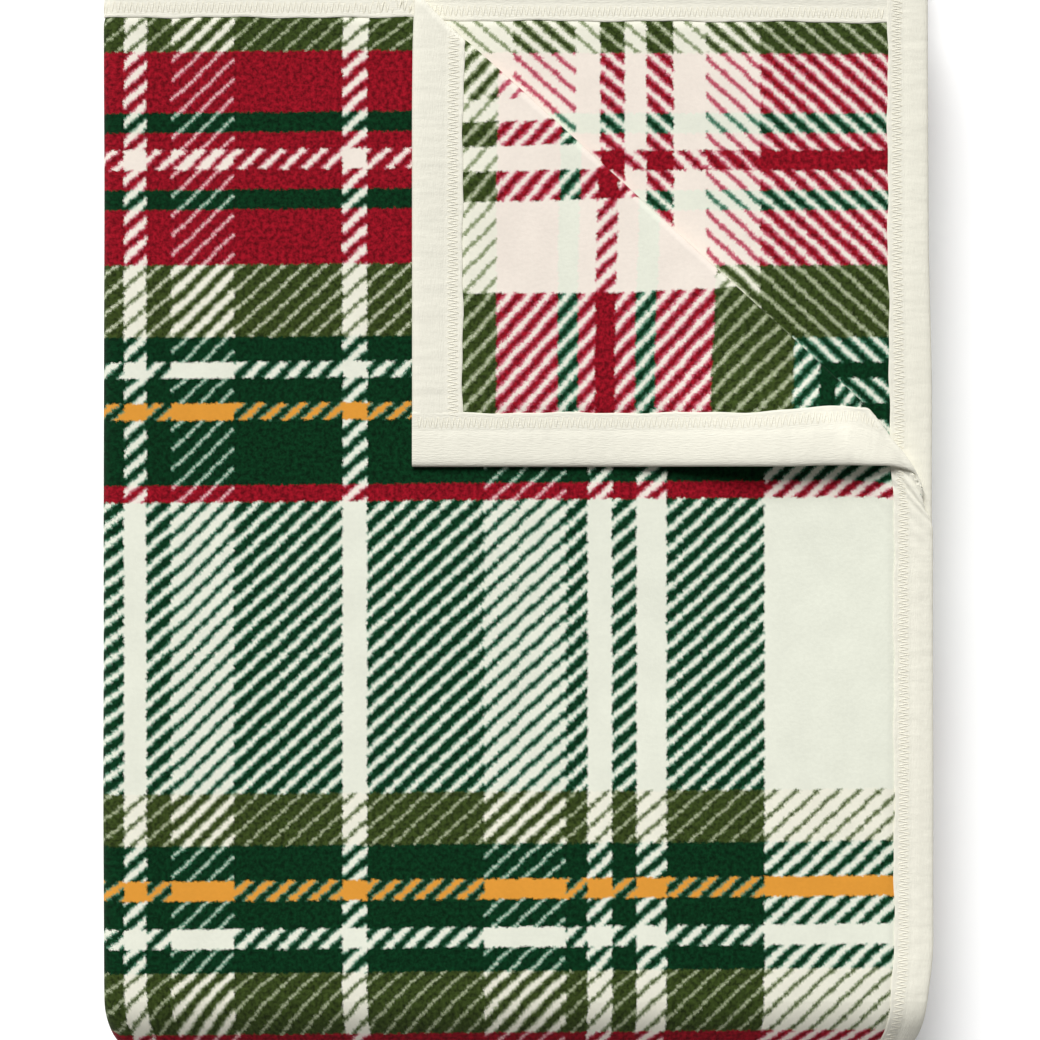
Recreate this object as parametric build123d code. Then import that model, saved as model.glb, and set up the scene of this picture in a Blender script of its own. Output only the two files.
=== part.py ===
from build123d import *
import math
import os

# Camp blanket, folded flat, with one corner of its top layer turned back.
#
# One rectangle of thick double-faced cloth has a strip of binding folded over each edge and sewn down
# with a wide seam. It is folded in half twice across its width, and then in half twice along its length,
# so that sixteen layers lie on each other.
#
# Frame: millimetres, +Z up, origin in the middle of the underside. The head edge is at +Y on top, and
# both side edges are at +X. The last fold made, which opens first, is the round end at -Y.

# ---------------------------------------------------------------- driving dimensions
BLANKET_WIDTH = 1524.0       # side edge to side edge, laid flat
BLANKET_LENGTH = 2032.0      # head edge to foot edge, laid flat
CLOTH_THICKNESS = 3.2        # napped cloth under its own weight
LAYER_GAP = 0.3              # air between layers that lie on each other
BINDING_WIDTH = 25.0         # binding seen on each face
BINDING_FABRIC = 0.8         # one thickness of the binding's fabric
SEAM_WIDTH = 7.0             # band that the stitches cover
SEAM_INSET = 1.5             # from the binding's inner edge to the stitches
SEAM_DEPTH = 0.4             # how deep the stitches sink into the binding
END_SETBACK = 10.0           # head and foot edges stop this far short of the fold beside them
CORNER_LEG = 239.0           # blanket corner to crease, along each edge
CORNER_CLEARANCE = 0.3       # from the turned corner's cloth to the crease

# ---------------------------------------------------------------- what follows from them
PITCH = CLOTH_THICKNESS + LAYER_GAP
HALF_CLOTH = CLOTH_THICKNESS / 2
TONGUE_THICKNESS = CLOTH_THICKNESS - 2 * BINDING_FABRIC   # cloth pressed thin inside the binding

# Across the width: the layers turn about these middle-line radii.
WIDE_TURN = 1.5 * PITCH
TIGHT_TURN = 0.5 * PITCH
SIDE_REACH = TIGHT_TURN + HALF_CLOTH    # side edges lie flush with the outside of the fold under them
LAYER_WIDTH = (BLANKET_WIDTH - 2 * SIDE_REACH - math.pi * (WIDE_TURN + 2 * TIGHT_TURN)) / 4
FOLDED_WIDTH = WIDE_TURN + HALF_CLOTH + LAYER_WIDTH + SIDE_REACH
EDGE_X = FOLDED_WIDTH / 2
RIGHT_TURN_X = EDGE_X - SIDE_REACH
LEFT_TURN_X = RIGHT_TURN_X - LAYER_WIDTH
BINDING_X = EDGE_X - BINDING_WIDTH

# Along the length: packs of four layers turn about these middle radii.
PACK = 4 * PITCH
WIDE_ROLL = 1.5 * PACK
TIGHT_ROLL = 0.5 * PACK
PACK_LENGTH = (BLANKET_LENGTH + 2 * END_SETBACK - math.pi * (WIDE_ROLL + 2 * TIGHT_ROLL)) / 4
SKIN = (PACK - LAYER_GAP) / 2           # pack's middle to its face
FOLDED_LENGTH = WIDE_ROLL + SKIN + PACK_LENGTH + TIGHT_ROLL + SKIN
FRONT_Y = WIDE_ROLL + SKIN - FOLDED_LENGTH / 2
BACK_Y = FRONT_Y + PACK_LENGTH
EDGE_Y = BACK_Y - END_SETBACK
BINDING_Y = EDGE_Y - BINDING_WIDTH

# Heights of the middle of each pack, bottom to top, and of the two rolls between them.
LEVELS = [SKIN + index * PACK for index in range(4)]
FRONT_ROLL_Z = (LEVELS[1] + LEVELS[2]) / 2
BACK_ROLL_Z = (LEVELS[0] + LEVELS[1]) / 2
FACE_UP = 0
FACE_DOWN = 180

# The crease of the turned corner runs at 45 degrees, half a gap above the top layer.
TOP_Z = LEVELS[3] + SKIN
CREASE_Z = TOP_Z + LAYER_GAP / 2
CREASE_START = Vector(EDGE_X - CORNER_LEG, EDGE_Y, CREASE_Z)
CREASE_END = Vector(EDGE_X, EDGE_Y - CORNER_LEG, CREASE_Z)
CREASE_AXIS = Axis(CREASE_START, CREASE_END - CREASE_START)
CREASE_LENGTH = (CREASE_END - CREASE_START).length
DIAGONAL = math.sqrt(2)                 # length along the crease for each unit along an edge


# ---------------------------------------------------------------- sections across the width
def half_turn(x, z, radius, side):
    """Half circle about (x, z), open to the left (side 1) or to the right (side -1)."""
    return ThreePointArc((x, z - radius), (x + side * radius, z), (x, z + radius))


def ribbon(thickness, right):
    """The cloth's four layers and three turns as one ribbon, its two ends at x = right."""
    half = thickness / 2
    outline = [Line((right, z - half), (right, z + half)) for z in (WIDE_TURN, TIGHT_TURN)]
    for offset in (-half, half):
        outline += [
            Line((right, WIDE_TURN + offset), (LEFT_TURN_X, WIDE_TURN + offset)),
            half_turn(LEFT_TURN_X, 0, WIDE_TURN + offset, -1),
            Line((LEFT_TURN_X, -WIDE_TURN - offset), (RIGHT_TURN_X, -WIDE_TURN - offset)),
            half_turn(RIGHT_TURN_X, -PITCH, TIGHT_TURN + offset, 1),
            Line((RIGHT_TURN_X, -TIGHT_TURN + offset), (LEFT_TURN_X, -TIGHT_TURN + offset)),
            half_turn(LEFT_TURN_X, 0, TIGHT_TURN - offset, -1),
            Line((LEFT_TURN_X, TIGHT_TURN - offset), (right, TIGHT_TURN - offset)),
        ]
    return Plane.XZ * make_face(outline)


def bar(x_low, x_high, z, height):
    """Rectangle in the section from x_low to x_high, centred on height z."""
    shape = Rectangle(x_high - x_low, height)
    return Plane.XZ * Pos((x_low + x_high) / 2, z) * shape


def side_tongue(layer_z):
    """Cloth inside a side binding."""
    return bar(BINDING_X, EDGE_X - BINDING_FABRIC, layer_z, TONGUE_THICKNESS)


def side_seam(layer_z):
    """The two bands of stitches, one on each face of a side binding."""
    start = BINDING_X + SEAM_INSET
    rise = HALF_CLOTH - SEAM_DEPTH / 2
    return [bar(start, start + SEAM_WIDTH, layer_z + sign * rise, SEAM_DEPTH) for sign in (-1, 1)]


def side_binding(layer_z):
    """A side binding: a U round the cloth's edge, less the bands that the stitches fill."""
    return bar(BINDING_X, EDGE_X, layer_z, CLOTH_THICKNESS) - side_tongue(layer_z) - side_seam(layer_z)


FIRST_SIDE = WIDE_TURN      # height of the first side edge in the section
SECOND_SIDE = TIGHT_TURN    # height of the second side edge, one layer below it
CLOTH_SECTION = ribbon(CLOTH_THICKNESS, BINDING_X) + side_tongue(FIRST_SIDE) + side_tongue(SECOND_SIDE)
TONGUE_SECTION = ribbon(TONGUE_THICKNESS, EDGE_X - BINDING_FABRIC)
END_BINDING_SECTION = ribbon(CLOTH_THICKNESS, BINDING_X)
END_SEAM_SECTION = END_BINDING_SECTION - ribbon(CLOTH_THICKNESS - 2 * SEAM_DEPTH, BINDING_X)


# ---------------------------------------------------------------- runs and rolls along the length
def placed(section, level, facing, y):
    """A section at its place along the length, facing up or down."""
    return Pos(0, y, level) * Rot(facing, 0, 0) * section


def run(section, level, facing, y_low, y_high):
    """A straight stretch of a section from y_low to y_high."""
    faces = placed(section, level, facing, y_low).faces()
    return Part() + [extrude(face, y_high - y_low, dir=(0, 1, 0)) for face in faces]


def roll(section, level, facing, y, z):
    """A section carried half a turn about the X direction at (y, z), to the pack it joins."""
    faces = placed(section, level, facing, y).faces()
    axis = Axis((0, y, z), (1, 0, 0))
    return Part() + [revolve(face, axis, 180) for face in faces]


def lower_half(section):
    """The two lower packs and the back roll that joins them."""
    bottom = run(section, LEVELS[0], FACE_DOWN, FRONT_Y, BACK_Y)
    middle = run(section, LEVELS[1], FACE_UP, FRONT_Y, BACK_Y)
    return bottom + roll(section, LEVELS[0], FACE_DOWN, BACK_Y, BACK_ROLL_Z) + middle


def outer_roll(section):
    """The big roll at the front, from the top pack to the bottom one."""
    return roll(section, LEVELS[3], FACE_UP, FRONT_Y, FRONT_ROLL_Z)


def inner_roll(section):
    """The small roll inside it, between the two middle packs."""
    return roll(section, LEVELS[2], FACE_DOWN, FRONT_Y, FRONT_ROLL_Z)


def ended_cloth(level, facing):
    """Cloth of a pack that ends in a bound edge."""
    tongue = run(TONGUE_SECTION, level, facing, BINDING_Y, EDGE_Y - BINDING_FABRIC)
    return run(CLOTH_SECTION, level, facing, FRONT_Y, BINDING_Y) + tongue


def ended_side_binding(layer_z, level, facing):
    """Side binding of a pack that ends in a bound edge, closed over the cloth at its end."""
    closed = bar(BINDING_X, EDGE_X, layer_z, CLOTH_THICKNESS) - side_seam(layer_z)
    body = run(side_binding(layer_z), level, facing, FRONT_Y, EDGE_Y - BINDING_FABRIC)
    return body + run(closed, level, facing, EDGE_Y - BINDING_FABRIC, EDGE_Y)


def end_seam(level, facing):
    """Stitches of a head or foot binding."""
    start = BINDING_Y + SEAM_INSET
    return run(END_SEAM_SECTION, level, facing, start, start + SEAM_WIDTH)


def end_binding(level, facing):
    """Head or foot binding, between the two side bindings, round every layer of its edge."""
    whole = run(END_BINDING_SECTION, level, facing, BINDING_Y, EDGE_Y)
    tongue = run(TONGUE_SECTION, level, facing, BINDING_Y, EDGE_Y - BINDING_FABRIC)
    return whole - tongue - end_seam(level, facing)


# ---------------------------------------------------------------- turned corner
def corner_prism(clearance):
    """The corner of the top layer alone, past the crease by the clearance."""
    margin = PITCH    # how far the prism passes the blanket's edges
    past = clearance * DIAGONAL
    right = EDGE_X + margin
    back = EDGE_Y + margin
    corner = Polyline(
        (right, CREASE_END.Y - margin + past),
        (right, back),
        (CREASE_START.X - margin + past, back),
        close=True,
    )
    foot_z = TOP_Z - CLOTH_THICKNESS - LAYER_GAP / 2
    return Pos(0, 0, foot_z) * extrude(make_face(corner), CLOTH_THICKNESS + LAYER_GAP)


def without_corner(piece):
    """What stays of a piece of the top pack."""
    return piece - corner_prism(0)


def turned_corner(piece):
    """The corner of a piece, turned over about the crease."""
    return (piece & corner_prism(CORNER_CLEARANCE)).rotate(CREASE_AXIS, 180)


def crease_tube(*patches):
    """Half tubes round the crease, one for each patch (start, end, depth below the top, thickness)."""
    plane = Plane(CREASE_START, x_dir=CREASE_AXIS.direction, z_dir=(1, 1, 0))
    within = Pos(0, 0, CREASE_Z) * Box(2 * EDGE_X, 2 * EDGE_Y, 4 * PITCH)
    tubes = []
    for start, end, depth, thickness in patches:
        patch = Pos((start + end) / 2, depth + LAYER_GAP / 2) * Rectangle(end - start, thickness)
        tubes.append(revolve(plane * patch, CREASE_AXIS, 180) & within)
    return Part() + tubes


BINDING_SPAN = BINDING_WIDTH * DIAGONAL             # what a binding covers of the crease
LIP_SPAN = BINDING_FABRIC * DIAGONAL
SEAM_SPAN = (SEAM_INSET * DIAGONAL, (SEAM_INSET + SEAM_WIDTH) * DIAGONAL)
MIDDLE = HALF_CLOTH
SEAM_DEPTHS = (SEAM_DEPTH / 2, CLOTH_THICKNESS - SEAM_DEPTH / 2)


def crease_cloth():
    """Cloth in the crease, thin where it lies inside the bindings."""
    return crease_tube(
        (LIP_SPAN, BINDING_SPAN, MIDDLE, TONGUE_THICKNESS),
        (BINDING_SPAN, CREASE_LENGTH - BINDING_SPAN, MIDDLE, CLOTH_THICKNESS),
        (CREASE_LENGTH - BINDING_SPAN, CREASE_LENGTH - LIP_SPAN, MIDDLE, TONGUE_THICKNESS),
    )


def crease_seam(outer, direction):
    """Stitches across the crease; outer is the binding's edge, direction points into the crease."""
    inner = outer + direction * BINDING_SPAN
    ends = sorted(inner - direction * span for span in SEAM_SPAN)
    return crease_tube(*[(ends[0], ends[1], depth, SEAM_DEPTH) for depth in SEAM_DEPTHS])


def crease_binding(outer, direction):
    """Binding across the crease."""
    ends = sorted((outer, outer + direction * BINDING_SPAN))
    tongue = sorted((outer + direction * LIP_SPAN, outer + direction * BINDING_SPAN))
    whole = crease_tube((ends[0], ends[1], MIDDLE, CLOTH_THICKNESS))
    hollow = crease_tube((tongue[0], tongue[1], MIDDLE, TONGUE_THICKNESS))
    return whole - hollow - crease_seam(outer, direction)


# ---------------------------------------------------------------- the pieces
def cloth_nodes():
    """The woven cloth, split where it bends."""
    top = ended_cloth(LEVELS[3], FACE_UP)
    return {
        "cloth_lower_half": lower_half(CLOTH_SECTION),
        "cloth_upper_inside": ended_cloth(LEVELS[2], FACE_DOWN),
        "cloth_upper_top": without_corner(top),
        "cloth_outer_fold": outer_roll(CLOTH_SECTION),
        "cloth_inner_fold": inner_roll(CLOTH_SECTION),
        "cloth_crease": crease_cloth(),
        "cloth_corner": turned_corner(top),
    }


def first_side_nodes():
    """Binding and stitches of the side edge whose corner is turned back."""
    binding = side_binding(FIRST_SIDE)
    seam = Sketch() + side_seam(FIRST_SIDE)
    top = ended_side_binding(FIRST_SIDE, LEVELS[3], FACE_UP)
    inside = ended_side_binding(FIRST_SIDE, LEVELS[2], FACE_DOWN)
    top_seam = run(seam, LEVELS[3], FACE_UP, FRONT_Y, EDGE_Y)
    inside_seam = run(seam, LEVELS[2], FACE_DOWN, FRONT_Y, EDGE_Y)
    return {
        "first_side_binding_lower_half": lower_half(binding),
        "first_side_binding_upper_half": without_corner(top) + inside,
        "first_side_binding_outer_fold": outer_roll(binding),
        "first_side_binding_inner_fold": inner_roll(binding),
        "first_side_binding_crease": crease_binding(CREASE_LENGTH, -1),
        "first_side_binding_corner": turned_corner(top),
        "first_side_stitches_lower_half": lower_half(seam),
        "first_side_stitches_upper_half": without_corner(top_seam) + inside_seam,
        "first_side_stitches_folds": outer_roll(seam) + inner_roll(seam),
        "first_side_stitches_crease": crease_seam(CREASE_LENGTH, -1),
        "first_side_stitches_corner": turned_corner(top_seam),
    }


def second_side_nodes():
    """Binding and stitches of the other side edge."""
    binding = side_binding(SECOND_SIDE)
    seam = Sketch() + side_seam(SECOND_SIDE)
    top = ended_side_binding(SECOND_SIDE, LEVELS[3], FACE_UP)
    inside = ended_side_binding(SECOND_SIDE, LEVELS[2], FACE_DOWN)
    top_seam = run(seam, LEVELS[3], FACE_UP, FRONT_Y, EDGE_Y)
    inside_seam = run(seam, LEVELS[2], FACE_DOWN, FRONT_Y, EDGE_Y)
    return {
        "second_side_binding_lower_half": lower_half(binding),
        "second_side_binding_upper_half": top + inside,
        "second_side_binding_outer_fold": outer_roll(binding),
        "second_side_binding_inner_fold": inner_roll(binding),
        "second_side_stitches_lower_half": lower_half(seam),
        "second_side_stitches_upper_half": top_seam + inside_seam,
        "second_side_stitches_folds": outer_roll(seam) + inner_roll(seam),
    }


def end_nodes():
    """Bindings and stitches of the head and foot edges."""
    head = end_binding(LEVELS[3], FACE_UP)
    head_seam = end_seam(LEVELS[3], FACE_UP)
    return {
        "head_binding": without_corner(head),
        "head_binding_crease": crease_binding(0, 1),
        "head_binding_corner": turned_corner(head),
        "head_stitches": without_corner(head_seam),
        "head_stitches_crease": crease_seam(0, 1),
        "head_stitches_corner": turned_corner(head_seam),
        "foot_binding": end_binding(LEVELS[2], FACE_DOWN),
        "foot_stitches": end_seam(LEVELS[2], FACE_DOWN),
    }


def write_nodes():
    """Write one STEP file for each piece."""
    os.makedirs("parts", exist_ok=True)
    nodes = {**cloth_nodes(), **first_side_nodes(), **second_side_nodes(), **end_nodes()}
    for name, shape in nodes.items():
        export_step(shape, f"parts/{name}.step")
    print(f"folded {FOLDED_WIDTH:.2f} x {FOLDED_LENGTH:.2f}, top {TOP_Z + PITCH:.2f}")
    print(f"front roll axis y {FRONT_Y:.2f} z {FRONT_ROLL_Z:.2f}, edges x {EDGE_X:.2f} y {EDGE_Y:.2f}")
    print(f"crease from {CREASE_START} to {CREASE_END}")


write_nodes()
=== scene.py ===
"""Folded camp blanket: cloth, bindings and stitches laid flat, cut where the blanket bends, then folded."""
import math

import bmesh
import bpy
import numpy as np
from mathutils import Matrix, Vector


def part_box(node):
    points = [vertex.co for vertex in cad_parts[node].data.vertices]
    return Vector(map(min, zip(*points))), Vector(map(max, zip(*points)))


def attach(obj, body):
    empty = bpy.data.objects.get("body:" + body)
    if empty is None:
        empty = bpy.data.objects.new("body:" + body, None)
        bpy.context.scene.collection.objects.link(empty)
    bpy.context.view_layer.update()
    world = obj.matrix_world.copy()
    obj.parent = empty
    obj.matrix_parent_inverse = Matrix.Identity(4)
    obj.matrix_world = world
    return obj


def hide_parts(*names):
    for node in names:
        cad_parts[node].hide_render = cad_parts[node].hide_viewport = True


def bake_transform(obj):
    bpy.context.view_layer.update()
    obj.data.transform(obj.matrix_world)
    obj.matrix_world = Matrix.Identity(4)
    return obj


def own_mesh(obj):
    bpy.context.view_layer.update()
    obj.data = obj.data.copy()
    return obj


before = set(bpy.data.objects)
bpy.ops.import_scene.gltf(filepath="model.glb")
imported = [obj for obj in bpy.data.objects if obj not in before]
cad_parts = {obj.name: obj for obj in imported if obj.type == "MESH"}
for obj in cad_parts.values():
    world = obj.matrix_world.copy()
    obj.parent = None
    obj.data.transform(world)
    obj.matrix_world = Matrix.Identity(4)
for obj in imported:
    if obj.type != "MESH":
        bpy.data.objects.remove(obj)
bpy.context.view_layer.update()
MM = 0.001

# ---------------------------------------------------------------- the blanket, in millimetres
CLOTH = 3.2                        # cloth thickness
GAP = 0.3                          # air between layers
BINDING = 25.0                     # widest binding seen on a face; it is sewn on a little unevenly
HEAD_BINDING = 23.2
FOOT_BINDING = 24.0
SECOND_SIDE_BINDING = 20.4
CORNER_BINDING, FIRST_SIDE_BINDING = 24.7, 18.9    # first side: on the turned corner, and past it
LOFT = 1.6                         # half of the napped cloth
PRESSED = 0.75                     # half of the cloth inside its binding
FABRIC_EDGE = 0.85                 # where the binding's inner skin lies, from the cloth's middle


def corners(node):
    """Lowest and highest corner of a node, in millimetres."""
    low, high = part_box(node)
    return np.array(low) / MM, np.array(high) / MM


# ---------------------------------------------------------------- where the frame puts it
PITCH = CLOTH + GAP
PACK = 4 * PITCH
LOW, HIGH = corners("cloth_upper_top")
FOLD_LOW, FOLD_HIGH = corners("cloth_outer_fold")
MIDDLE_Z = (FOLD_LOW[2] + FOLD_HIGH[2]) / 2
FRONT_Y = FOLD_HIGH[1]
EDGE_X = corners("first_side_binding_upper_half")[1][0]
EDGE_Y = corners("head_binding")[1][1]
RIGHT_X = EDGE_X - PITCH + GAP / 2          # crosswise folds turn about these two lines
LEFT_X = LOW[0] + 1.5 * PITCH + CLOTH / 2
BACK_Y = corners("cloth_lower_half")[1][1] - PACK + GAP / 2
TOP_Z = HIGH[2]
CREASE_Z = TOP_Z + GAP / 2
LEG = EDGE_X - corners("first_side_binding_corner")[0][0]

# Flat lengths from the first side edge to each crosswise fold, and from the head edge to each lengthwise one.
ACROSS = np.cumsum([
    EDGE_X - LEFT_X, math.pi * 1.5 * PITCH, RIGHT_X - LEFT_X, math.pi * 0.5 * PITCH,
    RIGHT_X - LEFT_X, math.pi * 0.5 * PITCH, EDGE_X - LEFT_X,
])
ALONG = np.cumsum([
    EDGE_Y - FRONT_Y, math.pi * 1.5 * PACK, BACK_Y - FRONT_Y, math.pi * 0.5 * PACK,
    BACK_Y - FRONT_Y, math.pi * 0.5 * PACK, EDGE_Y - FRONT_Y,
])
WIDTH, LENGTH = ACROSS[-1], ALONG[-1]    # laid flat: first side to second side, head to foot


# ---------------------------------------------------------------- small helpers
def ease(low, high, value):
    """Smooth step from 0 at low to 1 at high."""
    t = np.clip((value - low) / (high - low), 0, 1)
    return t * t * (3 - 2 * t)


def ripple(x, y, wavelength, phase=0.0):
    """Gentle irregular swell, between about -1 and 1."""
    a, b = 2 * math.pi * x / wavelength, 2 * math.pi * y / wavelength
    swell = np.sin(a + 0.7 * b + phase) + np.sin(0.6 * a - 1.1 * b + 2.1 * phase + 1.3)
    return (swell + 0.6 * np.sin(1.7 * a + 1.9 * b + 0.4 * phase)) / 2.6


# ---------------------------------------------------------------- folding the flat blanket
def fold_across(u, h):
    """Crosswise section: flat distance u and offset h towards the face, to x and height in the pack."""
    wide, tight = 1.5 * PITCH, 0.5 * PITCH
    a = ACROSS
    turn = [(u - a[i - 1]) / (a[i] - a[i - 1]) * math.pi for i in (1, 3, 5)]
    part = np.searchsorted(a[:-1], u, side="right")
    x = np.choose(part, [
        EDGE_X - u,
        LEFT_X - (wide + h) * np.sin(turn[0]),
        LEFT_X + (u - a[1]),
        RIGHT_X + (tight + h) * np.sin(turn[1]),
        RIGHT_X - (u - a[3]),
        LEFT_X - (tight - h) * np.sin(turn[2]),
        LEFT_X + (u - a[5]),
    ])
    z = np.choose(part, [
        wide + h,
        (wide + h) * np.cos(turn[0]),
        -wide - h,
        -PITCH - (tight + h) * np.cos(turn[1]),
        -tight + h,
        -(tight - h) * np.cos(turn[2]),
        tight - h,
    ])
    return x, z


def fold_along(v, rise):
    """Lengthwise section: flat distance v and height in the pack, to y and z."""
    wide, tight = 1.5 * PACK, 0.5 * PACK
    a = ALONG
    turn = [(v - a[i - 1]) / (a[i] - a[i - 1]) * math.pi for i in (1, 3, 5)]
    part = np.searchsorted(a[:-1], v, side="right")
    y = np.choose(part, [
        EDGE_Y - v,
        FRONT_Y - (wide + rise) * np.sin(turn[0]),
        FRONT_Y + (v - a[1]),
        BACK_Y + (tight + rise) * np.sin(turn[1]),
        BACK_Y - (v - a[3]),
        FRONT_Y - (tight - rise) * np.sin(turn[2]),
        FRONT_Y + (v - a[5]),
    ])
    z = np.choose(part, [
        wide + rise,
        (wide + rise) * np.cos(turn[0]),
        -wide - rise,
        -PACK - (tight + rise) * np.cos(turn[1]),
        -tight + rise,
        -(tight - rise) * np.cos(turn[2]),
        tight - rise,
    ])
    return y, MIDDLE_Z + z


# The corner is turned back round a soft roll. Both lines run nearly along the crease: s is the distance
# along it from the head edge, n the distance past it towards the blanket's corner.
ROLL = PITCH / 2
ROLL_START = (-12.85, 0.0453)    # n where the cloth leaves the layer, at s = 0, and its growth with s
ROLL_TOP = (15.35, -0.0300)      # n of the cloth on the roll's outermost line
DRAWN_BACK = -0.0153             # how far the corner is drawn back to lie square, for each mm of s
SLIP = -7.8                      # how far the turned corner has slid along the crease
SLIP_ENDS = (322, 345)           # the slip dies out at the first side between these
QUARTER = math.pi / 2 * ROLL
ROLL_END = ROLL_TOP[0] + QUARTER
DIAGONAL = math.sqrt(2)
CREASE_LENGTH = LEG * DIAGONAL


def crease_place(u, v):
    """Flat place as (s, n) beside the crease."""
    return (v - u + LEG) / DIAGONAL, (LEG - u - v) / DIAGONAL


HEAD_BEND, HEAD_BEND_END = 2.4, 36               # the crease bends outwards by this, and up to there
SIDE_BENDS = ((4.2, 296, 328), (4.5, 322, 346))  # and inwards at the first side: how far, from and to


def crease_bend(s):
    """How far the crease leaves its straight line, away from the blanket's middle, near its two ends."""
    inwards = sum(depth * ease(first, last, s) for depth, first, last in SIDE_BENDS)
    return HEAD_BEND * (1 - ease(0, HEAD_BEND_END, s)) - inwards


BEND_REACH = 18                  # the layer is drawn along with the crease over this distance
SQUARE_REACH = 40                # the corner lies square past this distance from the crease
SPRUNG = 7.6                     # how high the corner's free edge springs up


def turn_corner(u, v, h, x, y, z):
    """Puts what lies past the crease over it: round the roll, then face down on the top layer."""
    s, n = crease_place(u, v)
    start = ROLL_START[0] + ROLL_START[1] * s
    top = ROLL_TOP[0] + ROLL_TOP[1] * s
    end = top + QUARTER
    rising = np.clip((n - start) / (top - start), 0, 1)
    closing = np.clip((n - top) / QUARTER, 0, 1)
    angle = (rising + closing) * math.pi / 2
    radius = ROLL - h
    slide = SLIP * ease(0, math.pi / 2, angle) * (1 - ease(*SLIP_ENDS, s))
    beyond = np.maximum(n - end, 0)
    bend = crease_bend(s)
    square = DRAWN_BACK * s * ease(0, SQUARE_REACH, beyond)
    place_n = start + radius * np.sin(angle) - beyond + bend + square
    place_s = s + slide
    sprung = SPRUNG * ease(88, 165, v) * (1 - 0.6 * ease(216, 240, v))
    lift = sprung * (1 - ease(0, 62, u)) * ease(0, 17, beyond)
    height = CREASE_Z - radius * np.cos(angle) + lift
    top_layer = (v < ALONG[0]) & (u < ACROSS[0])
    turned = (n > start) & top_layer
    x = np.where(turned, EDGE_X - LEG + (place_s + place_n) / DIAGONAL, x)
    y = np.where(turned, EDGE_Y - (place_s - place_n) / DIAGONAL, y)
    z = np.where(turned, height, z)
    drawn = np.where((n <= start) & top_layer, bend * (1 - ease(0, BEND_REACH, start - n)) / DIAGONAL, 0)
    return x + drawn, y + drawn, z


SIDE_FOLDS, HEAD_FOLDS = 1.9, 1.3    # height of the small folds at the two ends of the crease
FOLD_SPACING = 6.0
FOLD_REACH = 11                      # they die out over this distance


def pucker(u, v):
    """Small folds in the top layer where the crease meets its two edges."""
    s, n = crease_place(u, v)
    start = ROLL_START[0] + ROLL_START[1] * s
    near = start - n
    side = SIDE_FOLDS * ease(304, 322, s)
    head = HEAD_FOLDS * (1 - ease(8, 30, s))
    wave = np.abs(np.sin(math.pi * (near - 2.5) / FOLD_SPACING))
    top_layer = (u < ACROSS[0]) & (v < ALONG[0]) & (near > 0)
    return np.where(top_layer, (side + head) * wave * np.exp(-near / FOLD_REACH), 0)


TOP_SWELL, PILE_SWELL = 0.8, 0.4     # how far the top and the layers below it swell and sink
DROOP_START, DROOP = -222, 0.0042    # the top droops past this y, by this times the distance squared
NOSE_DRAWN = 0.034                   # share of the width that the round end is narrower
SIDE_INSET = 1.2                     # the open side lies in by this, and by more:
FRONT_INSET, BACK_INSET = 3.4, 1.9   # near the round end, and past the crease's end
STAGGER, UNEVEN = 0.35, 0.5          # how far the side edges and the head edge wander
LEAN, LEAN_START = 0.0085, 0.6       # the head edge runs a little askew
LEFT_SWELL = 0.9                     # the folded side bulges out by this


def settle(x, y, z):
    """How the whole pile lies: soft swells, edges that don't quite line up, round corners."""
    upper = np.clip((z - MIDDLE_Z) / MIDDLE_Z, 0, 1)
    lower = np.sin(math.pi * np.clip(z / MIDDLE_Z, 0, 1))
    swell = TOP_SWELL * ripple(x, y, 210) * upper + PILE_SWELL * ripple(x, y, 260, 2.0) * lower
    droop = np.clip(DROOP_START - y, 0, 30)
    swell = swell - DROOP * droop ** 2 * upper
    nose = np.clip((FRONT_Y - y) / FOLD_HIGH[2] * 2, 0, 1)
    side = x / EDGE_X
    drawn = NOSE_DRAWN * nose ** 2
    right = np.clip(side, 0, 1) ** 6
    inset = right * (SIDE_INSET + FRONT_INSET * (1 - ease(-246, -208, y)) + BACK_INSET * ease(30, 120, y))
    stagger = STAGGER * np.abs(side) ** 8 * ripple(y, 9 * z, 330, 0.6)
    ends = ease(EDGE_Y - 60, EDGE_Y, y)
    lean = ends * (LEAN * (x - LOW[0]) - LEAN_START)
    uneven = UNEVEN * ends * ripple(x, 8 * z, 300, 1.7)
    left = LEFT_SWELL * np.clip(-side, 0, 1) ** 14
    return x * (1 - drawn) - inset - left + stagger, y - lean - np.abs(uneven), z + swell


def fold_blanket(flat):
    """Flat places (u, v, h) in millimetres to their places in the folded blanket, in metres."""
    u, v, h = flat.T
    x, rise = fold_across(np.clip(u, 0, WIDTH - 1e-6), h)
    y, z = fold_along(np.clip(v, 0, LENGTH - 1e-6), rise)
    z = z + pucker(u, v)
    x, y, z = turn_corner(u, v, h, x, y, z)
    return np.stack(settle(x, y, z), axis=1) * MM


TOP_PULL, LEFT_PULL = 0.55, 1.4      # how far the stripes are pulled on the top layer, and more at its left
CORNER_PULL, OLIVE_PULL = 3.3, -2.5  # and on the turned corner: stripes, bands
SECOND_PULL = 6.3                    # and on the second flat stretch from the first side
SKEW, SKEW_START = 0.0087, 301       # the bands of the top layer run askew, about this distance from the edge


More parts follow.
